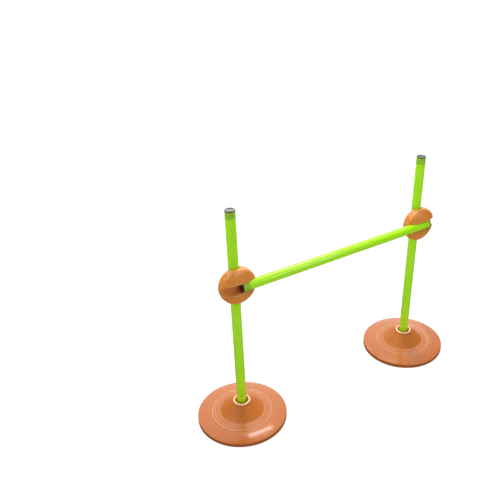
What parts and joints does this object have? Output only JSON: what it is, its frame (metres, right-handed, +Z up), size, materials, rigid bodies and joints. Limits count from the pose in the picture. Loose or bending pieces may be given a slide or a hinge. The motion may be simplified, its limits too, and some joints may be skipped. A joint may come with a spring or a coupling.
{
  "type": "speed hurdle",
  "caption": "Low training hurdle: weighted round bases with socketed uprights, and ball-shaped snap clips that slide on the uprights and hold a knock-out crossbar.",
  "frame": {"origin": "on the floor, midway between the two stands", "axes": "+X along the crossbar from the left stand to the right stand, +Y from the crossbar's side towards the rear, +Z up"},
  "size_m": [0.824, 0.244, 0.63],
  "materials": {
    "base": "glossy moulded plastic, terracotta orange",
    "pole": "glossy extruded tube, lime green, slightly translucent",
    "clip": "satin moulded plastic, orange",
    "plug": "black moulded plastic"
  },
  "bodies": {
    "left_base": {"left_base": "base"},
    "left_upright": {"left_upright": "pole", "left_foot_plug": "plug", "left_top_plug": "plug"},
    "left_clip": {"left_clip": "clip"},
    "crossbar": {"crossbar": "pole", "crossbar_left_plug": "plug", "crossbar_right_plug": "plug"},
    "right_base": {"right_base": "base"},
    "right_upright": {"right_upright": "pole", "right_foot_plug": "plug", "right_top_plug": "plug"},
    "right_clip": {"right_clip": "clip"}
  },
  "joints": [
    {"name": "left_upright_lift", "type": "slide", "parent": "left_base", "child": "left_upright", "axis": [0, 0, 1], "range_m": [0, 0.045]},
    {"name": "left_clip_height", "type": "slide", "parent": "left_upright", "child": "left_clip", "axis": [0, 0, 1], "range_m": [-0.31, 0.13]},
    {"name": "crossbar_release", "type": "slide", "parent": "left_clip", "child": "crossbar", "axis": [0, -1, 0], "range_m": [0, 0.06]},
    {"name": "stand_spacing", "type": "slide", "parent": "left_base", "child": "right_base", "axis": [1, 0, 0], "range_m": [-0.25, 0.015]},
    {"name": "right_upright_lift", "type": "slide", "parent": "right_base", "child": "right_upright", "axis": [0, 0, 1], "range_m": [0, 0.045]},
    {"name": "right_clip_height", "type": "slide", "parent": "right_upright", "child": "right_clip", "axis": [0, 0, 1], "range_m": [-0.31, 0.13]}
  ],
  "couplings": [
    {"joint": "right_upright_lift", "follows": "left_upright_lift", "ratio": 1},
    {"joint": "right_clip_height", "follows": "left_clip_height", "ratio": 1}
  ]
}
